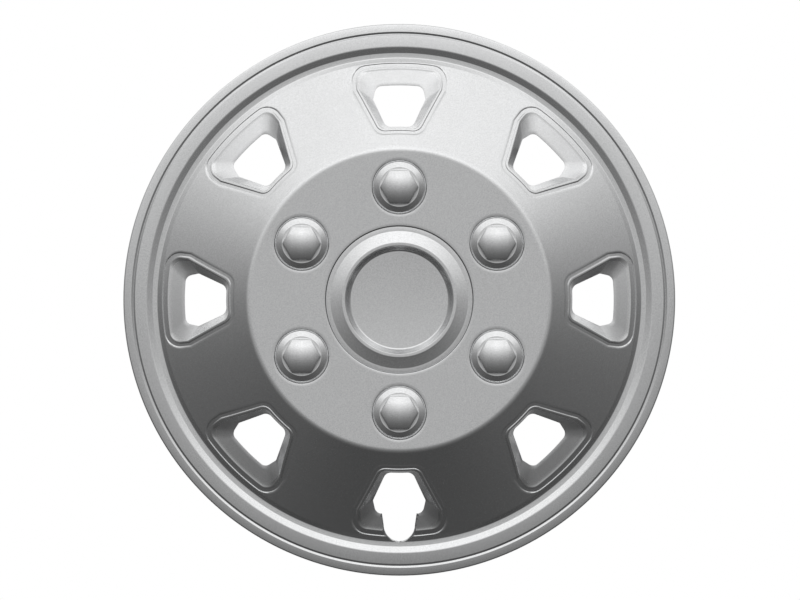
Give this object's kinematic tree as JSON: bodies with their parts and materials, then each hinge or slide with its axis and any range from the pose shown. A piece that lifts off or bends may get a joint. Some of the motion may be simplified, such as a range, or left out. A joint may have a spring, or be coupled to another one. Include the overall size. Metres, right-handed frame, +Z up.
{
  "type": "hard wheel cover",
  "caption": "Deep silver wheel cover for a van or motorhome wheel, with windows, a valve slot, push-in nut caps and centre cap, and sprung clips on a wire ring behind.",
  "frame": {"origin": "on the wheel's axis, in the plane where the back of the outer flange rests on the wheel rim", "axes": "-Y points out of the wheel, the way the face looks; +Z is up with the valve slot at the bottom; +X is to the right seen from the front"},
  "size_m": [0.4294, 0.0928, 0.4294],
  "materials": {
    "silver_paint": "silver metallic lacquer on moulded ABS, satin gloss",
    "black_nylon": "black glass-filled nylon, as moulded",
    "spring_wire": "zinc-plated spring wire"
  },
  "bodies": {
    "face": {"trim_face": "silver_paint", "retaining_ring": "spring_wire"},
    "clip_01": {"retaining_clip_01": "black_nylon"},
    "clip_02": {"retaining_clip_02": "black_nylon"},
    "clip_03": {"retaining_clip_03": "black_nylon"},
    "clip_04": {"retaining_clip_04": "black_nylon"},
    "clip_05": {"retaining_clip_05": "black_nylon"},
    "clip_06": {"retaining_clip_06": "black_nylon"},
    "clip_07": {"retaining_clip_07": "black_nylon"},
    "clip_08": {"retaining_clip_08": "black_nylon"},
    "clip_09": {"retaining_clip_09": "black_nylon"},
    "clip_10": {"retaining_clip_10": "black_nylon"},
    "centre_cap_body": {"centre_cap": "silver_paint", "centre_cap_spring_ring": "spring_wire"},
    "nut_cap_body_1": {"nut_cap_1": "silver_paint"},
    "nut_cap_body_2": {"nut_cap_2": "silver_paint"},
    "nut_cap_body_3": {"nut_cap_3": "silver_paint"},
    "nut_cap_body_4": {"nut_cap_4": "silver_paint"},
    "nut_cap_body_5": {"nut_cap_5": "silver_paint"},
    "nut_cap_body_6": {"nut_cap_6": "silver_paint"}
  },
  "joints": [
    {"name": "clip_01_flex", "type": "hinge", "parent": "face", "child": "clip_01", "pos_m": [0.19225, 0.01, 0], "axis": [0, 0, 1], "range_deg": [0, 4], "stiffness_Nm_per_rad": 4, "deforming": ["retaining_ring"]},
    {"name": "clip_02_flex", "type": "hinge", "parent": "face", "child": "clip_02", "pos_m": [0.15553, 0.01, 0.113], "axis": [-0.5878, 0, 0.809], "range_deg": [0, 4], "stiffness_Nm_per_rad": 4},
    {"name": "clip_03_flex", "type": "hinge", "parent": "face", "child": "clip_03", "pos_m": [0.05941, 0.01, 0.18284], "axis": [-0.9511, 0, 0.309], "range_deg": [0, 4], "stiffness_Nm_per_rad": 4},
    {"name": "clip_04_flex", "type": "hinge", "parent": "face", "child": "clip_04", "pos_m": [-0.05941, 0.01, 0.18284], "axis": [-0.9511, 0, -0.309], "range_deg": [0, 4], "stiffness_Nm_per_rad": 4},
    {"name": "clip_05_flex", "type": "hinge", "parent": "face", "child": "clip_05", "pos_m": [-0.15553, 0.01, 0.113], "axis": [-0.5878, 0, -0.809], "range_deg": [0, 4], "stiffness_Nm_per_rad": 4},
    {"name": "clip_06_flex", "type": "hinge", "parent": "face", "child": "clip_06", "pos_m": [-0.19225, 0.01, 0], "axis": [0, 0, -1], "range_deg": [0, 4], "stiffness_Nm_per_rad": 4},
    {"name": "clip_07_flex", "type": "hinge", "parent": "face", "child": "clip_07", "pos_m": [-0.15553, 0.01, -0.113], "axis": [0.5878, 0, -0.809], "range_deg": [0, 4], "stiffness_Nm_per_rad": 4},
    {"name": "clip_08_flex", "type": "hinge", "parent": "face", "child": "clip_08", "pos_m": [-0.05941, 0.01, -0.18284], "axis": [0.9511, 0, -0.309], "range_deg": [0, 4], "stiffness_Nm_per_rad": 4},
    {"name": "clip_09_flex", "type": "hinge", "parent": "face", "child": "clip_09", "pos_m": [0.05941, 0.01, -0.18284], "axis": [0.9511, 0, 0.309], "range_deg": [0, 4], "stiffness_Nm_per_rad": 4},
    {"name": "clip_10_flex", "type": "hinge", "parent": "face", "child": "clip_10", "pos_m": [0.15553, 0.01, -0.113], "axis": [0.5878, 0, 0.809], "range_deg": [0, 4], "stiffness_Nm_per_rad": 4},
    {"name": "centre_cap_pull", "type": "slide", "parent": "face", "child": "centre_cap_body", "axis": [0, -1, 0], "range_m": [0, 0.025]},
    {"name": "nut_cap_1_pull", "type": "slide", "parent": "face", "child": "nut_cap_body_1", "axis": [0, -1, 0], "range_m": [0, 0.02]},
    {"name": "nut_cap_2_pull", "type": "slide", "parent": "face", "child": "nut_cap_body_2", "axis": [0, -1, 0], "range_m": [0, 0.02]},
    {"name": "nut_cap_3_pull", "type": "slide", "parent": "face", "child": "nut_cap_body_3", "axis": [0, -1, 0], "range_m": [0, 0.02]},
    {"name": "nut_cap_4_pull", "type": "slide", "parent": "face", "child": "nut_cap_body_4", "axis": [0, -1, 0], "range_m": [0, 0.02]},
    {"name": "nut_cap_5_pull", "type": "slide", "parent": "face", "child": "nut_cap_body_5", "axis": [0, -1, 0], "range_m": [0, 0.02]},
    {"name": "nut_cap_6_pull", "type": "slide", "parent": "face", "child": "nut_cap_body_6", "axis": [0, -1, 0], "range_m": [0, 0.02]}
  ],
  "couplings": [
    {"joint": "clip_02_flex", "follows": "clip_01_flex", "ratio": 1},
    {"joint": "clip_03_flex", "follows": "clip_01_flex", "ratio": 1},
    {"joint": "clip_04_flex", "follows": "clip_01_flex", "ratio": 1},
    {"joint": "clip_05_flex", "follows": "clip_01_flex", "ratio": 1},
    {"joint": "clip_06_flex", "follows": "clip_01_flex", "ratio": 1},
    {"joint": "clip_07_flex", "follows": "clip_01_flex", "ratio": 1},
    {"joint": "clip_08_flex", "follows": "clip_01_flex", "ratio": 1},
    {"joint": "clip_09_flex", "follows": "clip_01_flex", "ratio": 1},
    {"joint": "clip_10_flex", "follows": "clip_01_flex", "ratio": 1}
  ]
}
